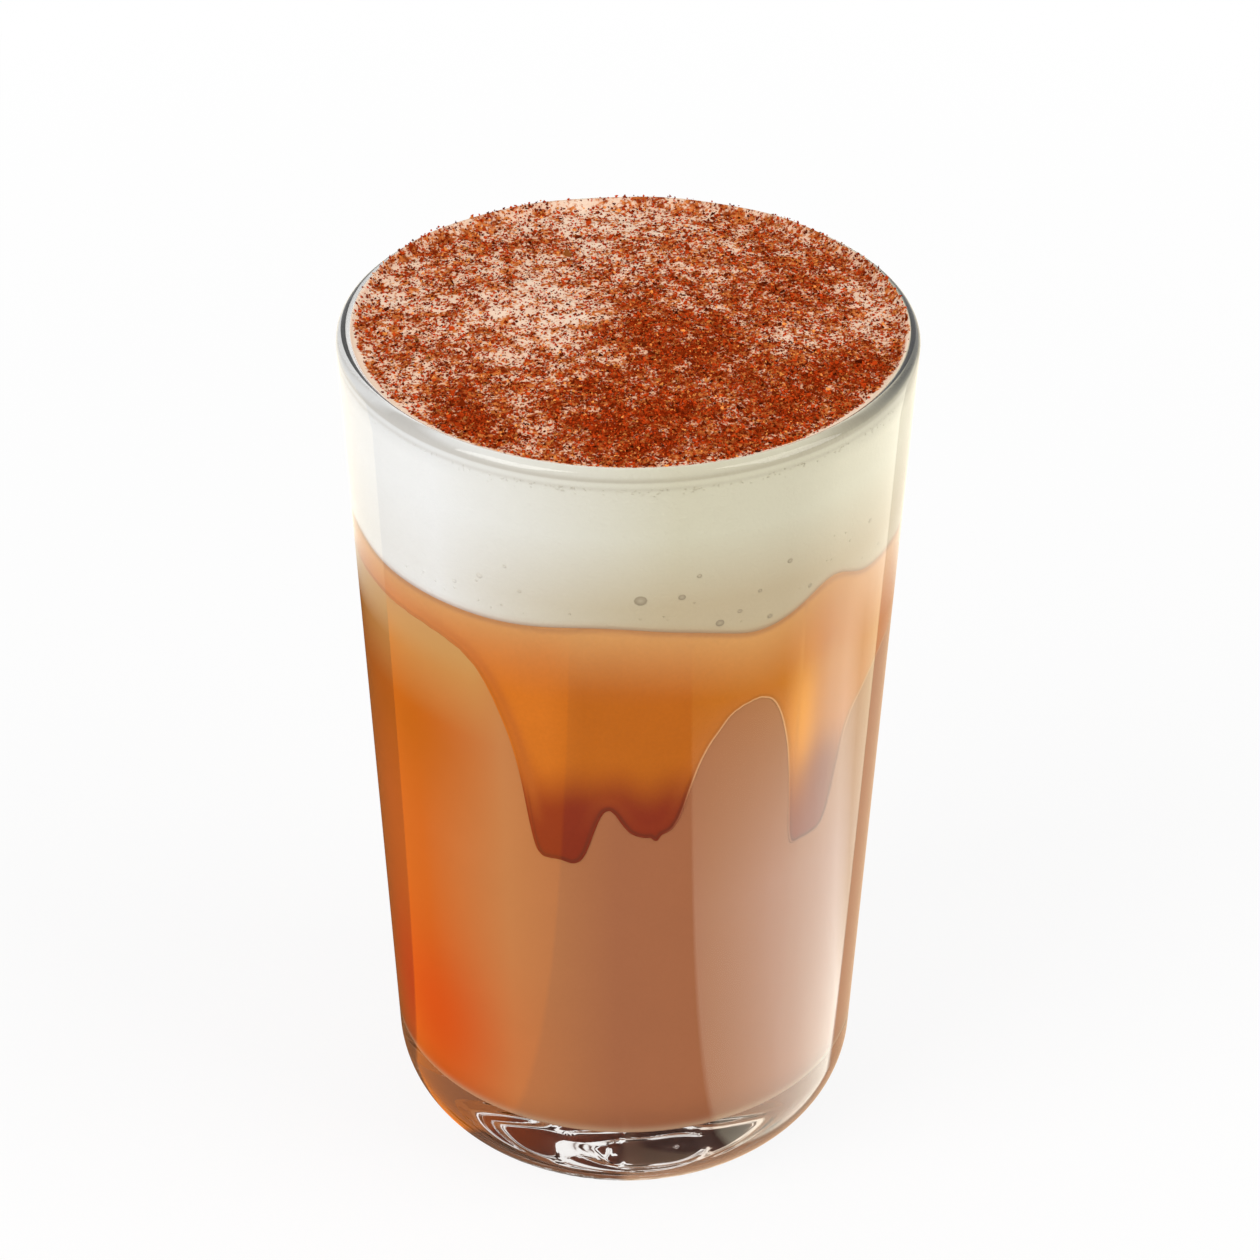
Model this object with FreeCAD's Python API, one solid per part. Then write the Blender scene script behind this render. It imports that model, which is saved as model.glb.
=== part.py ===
import FreeCAD, Part
import math
import os
from FreeCAD import Vector

# Pumpkin spice latte in a heavy-based glass tumbler.
#
# Four pieces fill one another: the tumbler, the coffee that stands in it, the pumpkin
# caramel that lies across the coffee and runs down the inside of the wall in tongues, and
# the milk foam that fills the rest up to the rim.
#
# The origin is the centre of the foot and +Z is the axis of the glass. Angles are degrees
# round +Z, counted from the front (-Y) towards +X. Lengths are millimetres.

# Tumbler
GLASS_HEIGHT = 130.0
MOUTH_RADIUS = 40.0
FOOT_RADIUS = 32.9  # where the straight outside wall would reach the table
WALL = 2.4
BASE_THICKNESS = 13.0
HEEL_RADIUS = 14.8  # outside rounding from the wall to the foot
INNER_HEEL_RADIUS = 9.0
BEARING_WIDTH = 4.0  # flat ring that the glass stands on
PUNT_DEPTH = 1.4  # hollow inside that ring

# Levels of the drink on the wall
FOAM_EDGE_DROP = 1.2  # from the rim to the foam's edge
FOAM_DEPTH = 26.8  # from the rim to the foam's underside
CARAMEL_BAND = 4.6  # from there to the caramel's edge between two tongues

# Foam
FOAM_CROWN = 1.4  # centre of the foam above its edge
LUMP_SPREAD = 7.0
# angle, distance from the axis as a share of the surface's radius, rise
FOAM_LUMPS = (
    (20.0, 0.15, 0.3),
    (75.0, 0.60, 0.9),
    (120.0, 0.35, -0.5),
    (160.0, 0.70, 0.6),
    (205.0, 0.70, -0.7),
    (250.0, 0.55, 0.7),
    (300.0, 0.60, -0.4),
    (335.0, 0.55, 0.6),
    (15.0, 0.70, -0.3),
)
# angle, rise, half-width: how the foam's underside waves along the wall
UNDERSIDE_WAVES = (
    (-4.0, 1.5, 16.0),
    (28.0, -1.4, 9.0),
    (47.5, 2.9, 8.0),
    (95.0, -1.2, 14.0),
    (130.0, 1.4, 12.0),
    (175.0, -1.6, 15.0),
    (215.0, 1.8, 11.0),
    (255.0, -1.0, 13.0),
    (285.0, 0.8, 10.0),
)

# Caramel tongues on the inside of the wall
TONGUE_THICKNESS = 2.2
TONGUE_BEVEL = 1.6  # height over which a tongue thins out to its edge
# angle, length below the caramel line, half-width before and after the angle, squareness
TONGUES = (
    (-15.8, 33.1, 6.6, 9.0, 5.6),
    (6.9, 28.0, 9.2, 7.3, 4.0),
    (26.0, 7.4, 9.1, 20.7, 8.0),
    (43.2, 34.9, 3.9, 11.3, 7.5),
    (74.0, 11.6, 16.0, 19.4, 7.0),
    (118.0, 28.0, 8.0, 7.0, 5.0),
    (150.0, 17.0, 10.0, 9.0, 4.0),
    (184.0, 36.0, 6.0, 8.0, 6.0),
    (218.0, 21.0, 9.0, 7.0, 4.0),
    (250.0, 26.0, 7.0, 6.0, 5.0),
)
ROOT_SHARE = 0.5  # share of a tongue's length that its broad root makes
ROOT_WIDTH = 2.0  # the root's width over the tongue's
ROOT_SQUARENESS = 4.0

# Fineness of the free-form surfaces
ANGLE_STEP = 2
SECTORS = 12  # faces that each of them is made of, round the axis
FIRST_ANGLE = 7  # where the first starts, clear of the seams of cones and cylinders
TOP_GRID = 17
OVERSHOOT = 8.0  # how far a cutting body runs past what it cuts

TAPER = math.atan2(MOUTH_RADIUS - FOOT_RADIUS, GLASS_HEIGHT)
FOAM_EDGE = GLASS_HEIGHT - FOAM_EDGE_DROP
FOAM_UNDERSIDE = GLASS_HEIGHT - FOAM_DEPTH
CARAMEL_LINE = FOAM_UNDERSIDE - CARAMEL_BAND


def outer_radius(z):
    return FOOT_RADIUS + math.tan(TAPER) * z


def inner_radius(z):
    return outer_radius(z) - WALL


def at_angle(angle, radius, z):
    turn = math.radians(angle)
    return Vector(radius * math.sin(turn), -radius * math.cos(turn), z)


def angle_between(angle, centre):
    """Signed difference of two angles, in -180 to 180 degrees."""
    return (angle - centre + 180.0) % 360.0 - 180.0


# ---- profiles in the XZ half-plane -------------------------------------------------

def line(start, end):
    return Part.makeLine(start, end)


def arc(start, middle, end):
    return Part.Arc(start, middle, end).toShape()


def heel_points(wall_radius, floor, rounding):
    """Start, middle and end of the arc that rounds a level floor into the tapered wall."""
    centre_z = floor + rounding
    centre_x = wall_radius(centre_z) - rounding / math.cos(TAPER)
    points = []
    for direction in (-math.pi / 2, -(math.pi / 2 + TAPER) / 2, -TAPER):
        x = centre_x + rounding * math.cos(direction)
        z = centre_z + rounding * math.sin(direction)
        points.append(Vector(x, 0, z))
    return points


def punt_points(radius):
    """Top, middle and foot of the shallow dome under the base."""
    dome = (radius ** 2 + PUNT_DEPTH ** 2) / (2 * PUNT_DEPTH)
    half_turn = math.asin(radius / dome) / 2
    middle = Vector(dome * math.sin(half_turn), 0, PUNT_DEPTH - dome * (1 - math.cos(half_turn)))
    return Vector(0, 0, PUNT_DEPTH), middle, Vector(radius, 0, 0)


def revolve(edges):
    face = Part.Face(Part.Wire(edges))
    return face.revolve(Vector(0, 0, 0), Vector(0, 0, 1), 360)


def make_tumbler():
    lip_z = GLASS_HEIGHT - WALL / 2
    lip_outside = Vector(outer_radius(lip_z), 0, lip_z)
    lip_top = Vector(outer_radius(GLASS_HEIGHT) - WALL / 2, 0, GLASS_HEIGHT)
    lip_inside = Vector(inner_radius(lip_z), 0, lip_z)
    heel = heel_points(outer_radius, 0, HEEL_RADIUS)
    inner_heel = heel_points(inner_radius, BASE_THICKNESS, INNER_HEEL_RADIUS)
    punt = punt_points(heel[0].x - BEARING_WIDTH)
    floor_centre = Vector(0, 0, BASE_THICKNESS)
    return revolve([
        arc(*punt),
        line(punt[2], heel[0]),
        arc(*heel),
        line(heel[2], lip_outside),
        arc(lip_outside, lip_top, lip_inside),
        line(lip_inside, inner_heel[2]),
        arc(inner_heel[2], inner_heel[1], inner_heel[0]),
        line(inner_heel[0], floor_centre),
        line(floor_centre, punt[0]),
    ])


def make_cavity():
    """What the tumbler holds, carried on upwards past the rim."""
    top = GLASS_HEIGHT + OVERSHOOT
    heel = heel_points(inner_radius, BASE_THICKNESS, INNER_HEEL_RADIUS)
    floor_centre = Vector(0, 0, BASE_THICKNESS)
    wall_top = Vector(inner_radius(top), 0, top)
    top_centre = Vector(0, 0, top)
    return revolve([
        line(floor_centre, heel[0]),
        arc(*heel),
        line(heel[2], wall_top),
        line(wall_top, top_centre),
        line(top_centre, floor_centre),
    ])


# ---- the surfaces between foam, caramel and coffee ---------------------------------

def foam_top_height(x, y):
    edge_radius = inner_radius(FOAM_EDGE)
    share = math.hypot(x, y) / edge_radius
    height = FOAM_EDGE + FOAM_CROWN * (1 - share ** 2)
    for angle, distance, rise in FOAM_LUMPS:
        centre = at_angle(angle, distance * edge_radius, 0)
        away = math.hypot(x - centre.x, y - centre.y) / LUMP_SPREAD
        height += rise * math.exp(-away ** 2) * max(0.0, 1 - share ** 4)
    return height


def foam_underside_height(angle):
    height = FOAM_UNDERSIDE
    for centre, rise, half_width in UNDERSIDE_WAVES:
        height += rise * math.exp(-(angle_between(angle, centre) / half_width) ** 2)
    return height


def bell(away, squareness):
    """One at the middle, a half at a distance of one, nothing far out."""
    return 1 / (1 + away ** squareness)


def tongue_drop(angle, tongue):
    centre, length, before, after, squareness = tongue
    away = angle_between(angle, centre)
    away = abs(away) / (before if away < 0 else after)
    tip = (1 - ROOT_SHARE) * bell(away, squareness)
    root = ROOT_SHARE * bell(away / ROOT_WIDTH, ROOT_SQUARENESS)
    return length * (tip + root)


def caramel_edge_height(angle):
    return CARAMEL_LINE - math.hypot(*[tongue_drop(angle, tongue) for tongue in TONGUES])


def closed_curve(radius, height):
    """Smooth closed curve round the axis, as one edge for each sector.

    Its steps are even by angle, so that a band between two such curves is ruled straight
    out from the axis and doesn't fold where a tongue is steep.
    """
    angles = range(FIRST_ANGLE, FIRST_ANGLE + 360, ANGLE_STEP)
    points = [at_angle(angle, radius, height(angle)) for angle in angles]
    curve = Part.BSplineCurve()
    even_steps = [float(step) for step in range(len(points) + 1)]
    curve.interpolate(Points=points, PeriodicFlag=True, Parameters=even_steps)
    length = curve.LastParameter - curve.FirstParameter
    ends = [curve.FirstParameter + length * i / SECTORS for i in range(SECTORS + 1)]
    return [curve.toShape(start, end) for start, end in zip(ends, ends[1:])]


def ring_above(inside, outside):
    """Body that stands on the band ruled between two closed curves."""
    rise = Vector(0, 0, GLASS_HEIGHT)
    sectors = [Part.makeRuledSurface(*edges).extrude(rise) for edges in zip(inside, outside)]
    return sectors[0].multiFuse(sectors[1:])


def below_foam_top():
    reach = MOUTH_RADIUS + OVERSHOOT
    step = 2 * reach / (TOP_GRID - 1)
    rows = []
    for i in range(TOP_GRID):
        x = i * step - reach
        ys = [j * step - reach for j in range(TOP_GRID)]
        rows.append([Vector(x, y, foam_top_height(x, y)) for y in ys])
    surface = Part.BSplineSurface()
    surface.interpolate(rows)
    return surface.toShape().extrude(Vector(0, 0, -GLASS_HEIGHT))


def above_foam_underside():
    """Body over a surface that is level at the axis and waves along the wall."""
    eye = 2.0
    wall = inner_radius(FOAM_UNDERSIDE)
    reach = MOUTH_RADIUS + OVERSHOOT
    growth = (reach - eye) / (wall - eye)

    def height(angle):
        return FOAM_UNDERSIDE + growth * (foam_underside_height(angle) - FOAM_UNDERSIDE)

    centre_edge = closed_curve(eye, lambda angle: FOAM_UNDERSIDE)
    ring = ring_above(centre_edge, closed_curve(reach, height))
    middle = Part.Face(Part.Wire(centre_edge)).extrude(Vector(0, 0, GLASS_HEIGHT))
    return ring.fuse(middle)


def above_caramel_edge():
    """Body over a band that slopes down to the tongues' outline on the wall."""
    slope = TONGUE_BEVEL / TONGUE_THICKNESS
    inside = inner_radius(CARAMEL_LINE) / 2
    outside = MOUTH_RADIUS + OVERSHOOT

    def height_at(radius):
        def height(angle):
            edge = caramel_edge_height(angle)
            return edge + slope * (inner_radius(edge) - radius)

        return height

    return ring_above(closed_curve(inside, height_at(inside)), closed_curve(outside, height_at(outside)))


def inside_tongues():
    """The cavity's cone, smaller all round by a tongue's thickness."""
    top = GLASS_HEIGHT + OVERSHOOT
    bottom_radius = inner_radius(0) - TONGUE_THICKNESS
    return Part.makeCone(bottom_radius, inner_radius(top) - TONGUE_THICKNESS, top)


def caramel_room():
    """All that lies above the caramel's underside: level inside, tongues along the wall."""
    level = CARAMEL_LINE + TONGUE_BEVEL
    slab = Part.makeCylinder(MOUTH_RADIUS + OVERSHOOT / 2, GLASS_HEIGHT, Vector(0, 0, level))
    return slab.fuse(above_caramel_edge().cut(inside_tongues()))


def make_drink():
    fill = make_cavity().common(below_foam_top())
    foam_room = above_foam_underside()
    foam = fill.common(foam_room)
    under_foam = fill.cut(foam_room)
    room = caramel_room()
    return foam, under_foam.common(room), under_foam.cut(room)


def export(name, shape):
    solids = shape.Solids
    if len(solids) != 1 or not solids[0].isValid():
        raise ValueError(f"{name} is {len(solids)} solids, or not a valid one")
    solids[0].exportStep(os.path.join("parts", name + ".step"))
    print(f"{name}: {solids[0].Volume / 1000:.1f} cm3")


def main():
    os.makedirs("parts", exist_ok=True)
    foam, caramel, latte = make_drink()
    export("glass", make_tumbler())
    export("latte", latte)
    export("caramel", caramel)
    export("foam", foam)


main()
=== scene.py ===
"""Finishes a pumpkin spice latte: its clear tumbler, the coffee, the caramel on the wall, the
milk foam with its bubbles, and the ground spice on top.

Lengths are millimetres and angles degrees until new_piece() makes a mesh of them. Angles go
round +Z, counted from the front (-Y) towards +X.
"""

import math

import bpy
import numpy as np
from mathutils import Matrix, Vector, kdtree, noise


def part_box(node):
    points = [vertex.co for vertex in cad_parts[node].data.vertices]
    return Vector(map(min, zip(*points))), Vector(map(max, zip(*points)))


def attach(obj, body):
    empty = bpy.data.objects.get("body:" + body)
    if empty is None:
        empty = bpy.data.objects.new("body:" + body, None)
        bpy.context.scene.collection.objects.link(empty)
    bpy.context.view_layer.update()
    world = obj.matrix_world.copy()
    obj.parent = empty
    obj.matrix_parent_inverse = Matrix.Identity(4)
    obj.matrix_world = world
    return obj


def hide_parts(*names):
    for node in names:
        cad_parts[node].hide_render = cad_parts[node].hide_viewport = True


bl_info = {
    "name": "Pumpkin Spice Latte",
    "version": (1, 0, 0),
    "blender": (4, 5, 0),
    "location": "View3D > Sidebar > Latte",
    "description": "Builds the glass, the drink, its foam and its spice round the packed solids",
    "category": "Object",
}

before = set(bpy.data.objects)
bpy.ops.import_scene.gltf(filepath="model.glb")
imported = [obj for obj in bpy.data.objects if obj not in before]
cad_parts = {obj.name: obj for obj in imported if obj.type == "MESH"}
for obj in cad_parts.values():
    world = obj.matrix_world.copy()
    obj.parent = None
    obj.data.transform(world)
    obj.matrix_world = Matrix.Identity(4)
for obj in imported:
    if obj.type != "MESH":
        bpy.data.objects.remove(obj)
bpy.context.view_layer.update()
MM = 0.001
GLASS_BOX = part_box("glass")
HEIGHT = GLASS_BOX[1][2] / MM
MOUTH_RADIUS = (GLASS_BOX[1][0] - GLASS_BOX[0][0]) / 2 / MM
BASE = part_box("latte")[0][2] / MM


def srgb(red, green, blue):
    """A colour as it looks on screen, 0 to 255, as the linear numbers that shaders take."""
    channels = []
    for value in (red, green, blue):
        share = value / 255
        channels.append(share / 12.92 if share <= 0.04045 else ((share + 0.055) / 1.055) ** 2.4)
    return tuple(channels)


# ---- what a user may change ----------------------------------------------------------

def length(name, description, default):
    return bpy.props.FloatProperty(
        name=name, description=description + ", in millimetres", default=default, min=0.0, precision=2)


def colour(name, description, red, green, blue):
    return bpy.props.FloatVectorProperty(
        name=name, description=description, default=srgb(red, green, blue),
        size=3, min=0.0, max=1.0, subtype="COLOR")


def count(name, description, default):
    return bpy.props.IntProperty(name=name, description=description, default=default, min=0)


class LatteShape(bpy.types.PropertyGroup):
    wall: length("Wall", "Thickness of the glass above its base", 2.4)
    foot_radius: length("Foot radius", "Where the straight wall would meet the table", 32.9)
    heel: length("Heel", "Outside rounding from the wall to the foot", 14.8)
    inner_heel: length("Inner heel", "Rounding at the bottom of the drink", 9.0)
    bearing: length("Bearing ring", "Width of the flat ring that the glass stands on", 4.0)
    punt: length("Punt", "Depth of the hollow under the base", 1.4)
    bite: length("Bite", "How far the drink reaches into the wall, so that no air shows", 0.12)
    foam_edge: length("Foam edge", "From the rim down to the foam's edge", 1.2)
    foam_cling: length("Foam cling", "How far the foam's edge climbs the wall", 0.5)
    foam_crown: length("Foam crown", "Rise of the foam's middle over its edge", 1.4)
    foam_depth: length("Foam depth", "From the rim down to the foam's underside", 26.8)
    caramel_band: length("Caramel band", "Height of the caramel between two tongues", 4.6)
    caramel_depth: length("Caramel thickness", "How thick a tongue lies on the wall", 1.9)


class LatteColours(bpy.types.PropertyGroup):
    # Painted dark reflection: the dark line in the lip, and the same dark in the heel on the right.
    lip_dark_reflection: colour("Lip shade", "Dark line in the glass of the lip", 42, 44, 50)
    coffee: colour("Coffee", "Milk coffee at the front", 168, 104, 68)
    coffee_pale: colour("Pale coffee", "Where light starts to come through on the left", 192, 126, 74)
    coffee_amber: colour("Amber side", "Where light glows through on the left", 200, 96, 26)
    coffee_gold: colour("Gold", "The glow high on the left", 184, 90, 4)
    coffee_ember: colour("Ember", "The deepest glow, low on the left", 206, 62, 3)
    coffee_haze: colour("Haze", "Coffee just under the caramel on the left", 196, 146, 82)
    coffee_foot: colour("Foot line", "Milk at the bottom edge", 206, 168, 134)
    coffee_under: colour("Glowing underside", "Bottom of the coffee where light comes through", 206, 92, 30)
    coffee_shade: colour("Shaded underside", "Bottom of the coffee away from the light", 96, 66, 58)
    caramel_seam: colour("Caramel seam", "The line where caramel meets foam", 178, 116, 66)
    caramel_top: colour("Caramel top", "Caramel that has mixed with milk under the foam", 212, 151, 82)
    caramel: colour("Caramel", "The body of the caramel", 191, 101, 18)
    caramel_lit: colour("Lit caramel", "The caramel's body on the left", 212, 116, 32)
    caramel_rope: colour("Caramel rope", "The thick line down a tongue's side", 184, 96, 34)
    caramel_glow: colour("Caramel glow", "Thin caramel with light behind it", 240, 150, 22)
    caramel_tip: colour("Caramel tip", "Thick ends of the tongues", 138, 46, 20)
    caramel_edge: colour("Caramel edge", "The line round a tongue", 108, 44, 24)
    caramel_halo: colour("Halo", "The pale line outside a tongue", 226, 176, 128)
    foam: colour("Foam", "Milk foam on the left", 238, 238, 236)
    # Painted shade: the foam warmer and darker from the front round to the right.
    foam_painted_shade: colour("Warm foam", "Foam that caramel has tinted", 208, 202, 176)
    foam_low: colour("Low foam", "The warm foam near the caramel", 190, 172, 138)
    foam_top: colour("Foam top", "Foam that shows between the spice", 240, 214, 190)
    bubble: colour("Bubble", "Shade inside a bubble", 142, 126, 98)
    spice_red: colour("Cinnamon", "Most of the ground spice", 156, 52, 14)
    spice_milk: colour("Stained foam", "Foam between thick spice", 218, 148, 100)
    spice_deep: colour("Deep cinnamon", "Spice that has soaked up milk", 128, 34, 6)
    spice_dark: colour("Clove", "Its dark specks", 92, 30, 8)
    spice_gold: colour("Nutmeg", "Its light grains", 210, 120, 58)


class LatteAmounts(bpy.types.PropertyGroup):
    turns: count("Segments", "Faces round the glass", 384)
    cinnamon: count("Cinnamon grains", "Grains of the main spice", 30000)
    clove: count("Clove grains", "Dark grains", 5000)
    nutmeg: count("Nutmeg grains", "Light grains", 5000)
    seed: count("Seed", "Start of the random placing", 7)


# Caramel tongues: angle, length, half-width before and after the angle, squareness
TONGUES = (
    (-15.8, 33.1, 6.6, 9.0, 5.6),
    (6.9, 28.0, 9.2, 7.3, 4.0),
    (26.0, 7.4, 9.1, 20.7, 8.0),
    (43.2, 34.9, 3.9, 11.3, 7.5),
    (74.0, 11.6, 16.0, 19.4, 7.0),
    (118.0, 28.0, 8.0, 7.0, 5.0),
    (150.0, 17.0, 10.0, 9.0, 4.0),
    (184.0, 36.0, 6.0, 8.0, 6.0),
    (218.0, 21.0, 9.0, 7.0, 4.0),
    (250.0, 26.0, 7.0, 6.0, 5.0),
)
ROOT_SHARE = 0.5  # share of a tongue's length that its broad root makes
ROOT_WIDTH = 2.0  # the root's width over the tongue's
ROOT_SQUARENESS = 4.0
CARAMEL_TURNS = 1200
UNROLLED_AT = 80.0  # height at which the wall is measured for it
CARAMEL_BITE = 1.8  # how many times as deep as the coffee it reaches into the wall
CARAMEL_OVERLAP = 0.4  # how far it reaches up behind the foam
CARAMEL_LIP = 0.22  # how far its thin edge reaches past the outline
LOWEST_CURL = (6.9, 0.8, 0.8)  # a drop about to fall: angle, half-width, length
# How the foam's underside waves along the wall: angle, rise, half-width
UNDERSIDE_WAVES = (
    (-4.0, 1.5, 16.0),
    (28.0, -1.4, 9.0),
    (47.5, 2.9, 8.0),
    (95.0, -1.2, 14.0),
    (130.0, 1.4, 12.0),
    (175.0, -1.6, 15.0),
    (215.0, 1.8, 11.0),
    (255.0, -1.0, 13.0),
    (285.0, 0.8, 10.0),
)
# Foam's swellings and dents: angle, distance as a share of the radius, rise
FOAM_LUMPS = (
    (20.0, 0.15, 0.3),
    (75.0, 0.60, 0.9),
    (120.0, 0.35, -0.5),
    (160.0, 0.70, 0.6),
    (205.0, 0.70, -0.7),
    (250.0, 0.55, 0.7),
    (300.0, 0.60, -0.4),
    (335.0, 0.55, 0.6),
    (15.0, 0.70, -0.3),
)
LUMP_SPREAD = 7.0
# Its fine unevenness: rise, size of the bumps, start of the noise
FOAM_GRAIN = ((0.34, 4.5, 3), (0.14, 1.6, 4), (0.05, 0.7, 8))
FOAM_TURNS = 448
FOAM_BITE = 2.4  # how many times as deep as the coffee the foam reaches into the wall
# The foam over the lip: reach at the front and how much more at the back, width, thickness
CLING_FRONT = 0.30
CLING_BACK = 1.0
CLING_WIDTH = 0.8
CLING_THICKNESS = 0.1
LAST_RING = 1.0  # radius at which the drink's and the glass's floors close in a fan
# The back of the rim, counted in degrees from the middle of its front
RIM_FRONT = -8.0
RIM_BACK = (70.0, 110.0)
# Relief under the base: ribs on the right of the heel, broad waves elsewhere, and a stipple
RIBS = 32
WAVES = 12
BAR_DEPTH = 0.6
STIPPLE_DEPTH = 0.7
RELIEF_HEIGHT = 6.0
BARS_AT = (5.0, 2.6)  # middle of their ring, outwards from the foot, and its half-width
# Where the spice lies thinner (below 0) or thicker: x, y, spread, change
SPICE_DRIFTS = (
    (-13.0, 1.0, 8.0, -0.22),
    (22.0, -1.0, 6.0, -0.15),
    (-32.0, 8.0, 7.0, -0.14),
    (-4.0, 32.0, 11.0, -0.22),
    (-18.0, 14.0, 9.0, -0.08),
    (1.0, -24.0, 12.0, 0.24),
    (-19.0, -25.0, 8.0, 0.12),
    (24.0, -21.0, 9.0, 0.20),
    (-7.0, -11.0, 5.0, -0.16),
    (10.0, -7.0, 8.0, 0.26),
    (8.0, 20.0, 6.0, 0.08),
    (18.0, 10.0, 5.5, 0.20),
    (26.0, -12.0, 6.0, 0.22),
    (2.0, 0.0, 4.0, 0.22),
)
SPICE_COVER = 0.59  # how much of the foam it hides where nothing changes that
SPICE_LEAST = 0.06
SPICE_MOTTLE = 0.16
SPICE_PAST_WALL = 1.35
GRAIN_CORNERS = np.array([(1, 0, 0), (-0.5, 0.87, 0), (-0.5, -0.87, 0), (0, 0, 0.8), (0, 0, -0.8)])
GRAIN_FACES = np.array([(0, 1, 3), (1, 2, 3), (2, 0, 3), (1, 0, 4), (2, 1, 4), (0, 2, 4)])
# The larger bubbles on the wall: angle, height, radius
LARGE_BUBBLES = (
    (2.8, 109.3, 0.85),
    (11.2, 109.5, 0.5),
    (19.4, 104.5, 0.6),
    (14.7, 112.6, 0.35),
    (23.7, 105.8, 0.35),
    (30.8, 103.7, 0.4),
    (34.9, 111.7, 0.4),
    (28.1, 108.3, 0.3),
    (-31.3, 109.8, 0.45),
    (-25.3, 112.5, 0.3),
    (-22.2, 109.0, 0.3),
    (-37.7, 107.5, 0.35),
    (40.7, 106.3, 0.35),
    (59.0, 111.2, 0.35),
)
WALL_BUBBLES = 80
LIP_BUBBLES = 520
BUBBLE_SIDES = 10
# Rings of a bubble: share of its radius, rise out of the wall, shade
BUBBLE_RINGS = ((1.0, -0.05, 0.0), (0.8, 0.08, 1.0), (0.45, 0.12, 0.75))
# Cards on the table that only the glass mirrors: two sides of each, from a point to a point
LEFT_CARD = (((-60, -152), (-35, -54)), ((-54, 7), (-158, 70)))
RIGHT_CARD = (((28, -47), (70, -151)), ((132, 107), (52, 10)))
CARD_BLUR = 1.2
CARD_REACH = (150.0, 172.0)  # their far end, from the axis of the glass
CARD_GLOW = 4.0
LEFT_LIGHT = (1.35, 0.36, 0.03)
# Light of the right card: degrees round the table from the front, colour
RIGHT_LIGHT = (
    (20.0, (1.2, 1.15, 1.0)),
    (34.0, (2.1, 2.0, 1.5)),
    (48.0, (2.8, 2.7, 2.2)),
    (62.0, (3.3, 3.3, 2.9)),
    (78.0, (3.5, 3.6, 3.2)),
    (100.0, (3.2, 3.3, 3.0)),
    (112.0, (1.9, 1.8, 1.4)),
)
# How the right card fades outwards, in front and from SIDE_FROM on: distances, tones
CARD_FADES = (
    ((98.0, 150.0), (1, 1, 1), (0.44, 0.34, 0.1)),
    ((95.0, 160.0), (1, 1, 1), (1.0, 0.95, 0.7)),
)
SIDE_FROM = (64.0, 90.0)
# What lies between, behind and beyond the cards
GAP_LIGHT = (0.1, 0.08, 0.06)
LEFT_BACK_LIGHT = (0.25, 0.1, 0.03)
RIGHT_BACK_LIGHT = (0.9, 0.62, 0.4)
FAR_LIGHT = (0.85, 0.83, 0.78)
FAR_SIDE_LIGHT = (2.2, 2.1, 1.8)
FAR_OUTER_LIGHT = (1.35, 1.25, 1.05)
WORLD_LIGHT = 0.55
# The room that only the clear base shows: upright streaks, dark to bright
ROOM_SCALE = 7.0
ROOM_STRETCH = (2.2, 2.2, 0.5)
ROOM_TONES = (
    (0.42, (0.03, 0.016, 0.014)),
    (0.47, (0.14, 0.08, 0.065)),
    (0.50, (0.85, 0.8, 0.77)),
    (0.56, (1.0, 0.98, 0.96)),
)
# Tone of the room from the left of the glass to its right
ROOM_SIDES = (
    (0.08, (0.35, 0.34, 0.33)),
    (0.30, (1.0, 0.8, 0.6)),
    (0.45, (1.0, 1.0, 1.0)),
    (0.66, (1.0, 1.0, 1.0)),
    (0.80, (0.08, 0.08, 0.10)),
)
# What the base shows of the table under it, with a painted shadow dark near the axis: share of TABLE_SEEN
# from the axis, light
UNDER_GLASS = (
    (0.0, (0.10, 0.06, 0.045)),
    (0.30, (0.16, 0.10, 0.08)),
    (0.40, (0.45, 0.38, 0.34)),
    (0.58, (0.85, 0.82, 0.8)),
    (0.90, (1.0, 1.0, 1.0)),
)
TABLE_SEEN = 100.0
# Tone of that table from the left of the glass to its right: painted amber light on the left, painted shade
# on the right
TABLE_SIDE = 60.0
TABLE_SIDES = (
    (0.15, (1.0, 0.62, 0.4)),
    (0.35, (1.0, 0.86, 0.74)),
    (0.50, (1.0, 1.0, 1.0)),
    (0.60, (1.0, 1.0, 1.0)),
    (0.74, (0.22, 0.18, 0.2)),
)
# The object's shadow on the table: where it fades, and how white the table stays in it
SHADOW_FADE = (80.0, 400.0)
SHADOW_WHITE = 0.85
# The stage, in metres: half the table's width, soft boxes with their watts, camera
TABLE_REACH = 3.0
SOFT_BOXES = (
    ("soft_box_left", (-0.55, -0.45, 0.65), 4.0),
    ("soft_box_right", (0.6, -0.25, 0.55), 3.0),
)
SOFT_BOX_SIZE = (0.5, 0.7)
SOFT_BOX_AIM = (0.0, 0.0, 0.08)
CAMERA_PLACE = (0.0, -0.5256, 0.4143)
CAMERA_AIM = (0.0005, 0.0, 0.0809)
CAMERA_ROLL = 0.37
CAMERA_LENS = 124.9


# ---- the drink's own shape -----------------------------------------------------------

def shape():
    return bpy.context.scene.latte_shape


def colours():
    return bpy.context.scene.latte_colours


def amounts():
    return bpy.context.scene.latte_amounts


def taper():
    return math.atan2(MOUTH_RADIUS - shape().foot_radius, HEIGHT)


def outer_radius(z):
    return shape().foot_radius + math.tan(taper()) * z


def inner_radius(z):
    return outer_radius(z) - shape().wall


def angle_between(angle, centre):
    return (angle - centre + 180.0) % 360.0 - 180.0


def angle_of(points):
    """Degrees round the axis from the front."""
    return np.degrees(np.arctan2(points[..., 0], -points[..., 1]))


def radius_of(points):
    return np.hypot(points[..., 0], points[..., 1])


def ramp(value, start, end):
    """From 0 at start to 1 at end, and level beyond them."""
    return np.clip((value - start) / (end - start), 0, 1)


def hump(value, centre, width, squareness=2):
    """1 at the centre, down to about a third at a width from it."""
    return np.exp(-((value - centre) / width) ** squareness)


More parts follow.
